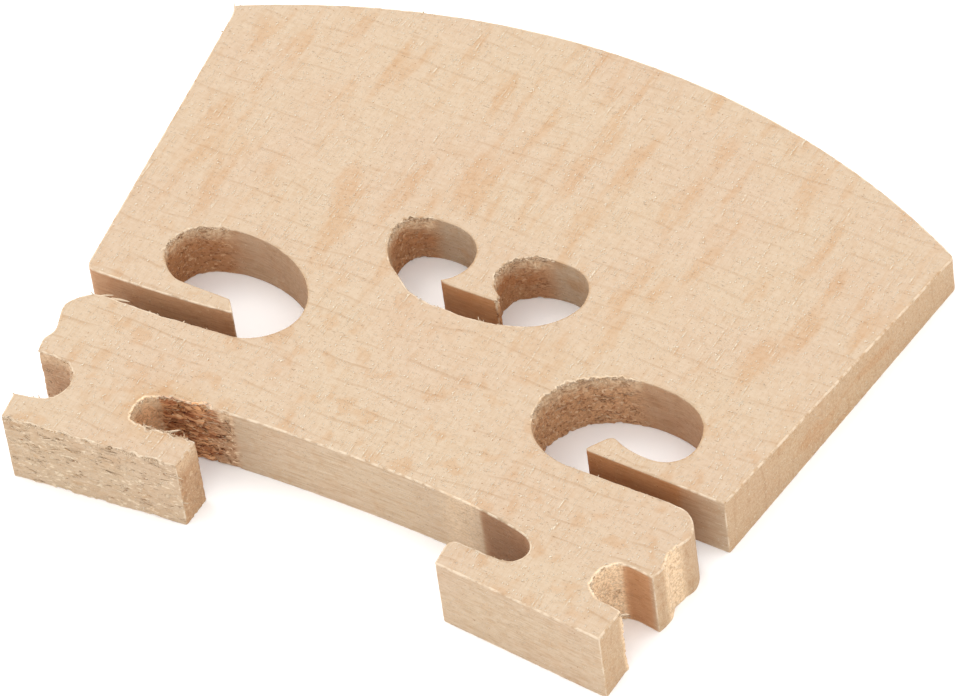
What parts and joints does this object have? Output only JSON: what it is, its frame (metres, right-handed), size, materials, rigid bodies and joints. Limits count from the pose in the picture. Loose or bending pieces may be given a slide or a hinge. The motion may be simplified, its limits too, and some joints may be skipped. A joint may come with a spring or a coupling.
{
  "type": "violin bridge blank",
  "caption": "Unfitted violin bridge blank of maple: a tapered plate with feet, kidneys, a heart, winged sides and a domed string arch, ready to be cut to fit.",
  "frame": {"origin": "on the flat back, under the middle of the plate's box", "axes": "+Z out of the sloping face, away from the flat back; +Y from the feet to the string arch; +X to the right as the face is seen"},
  "size_m": [0.0508, 0.0434, 0.0058],
  "materials": {
    "maple": "raw sanded maple, unvarnished, with fine flecks and dark end grain in the sawn openings"
  },
  "bodies": {
    "root": {"bridge_blank": "maple"}
  },
  "joints": []
}
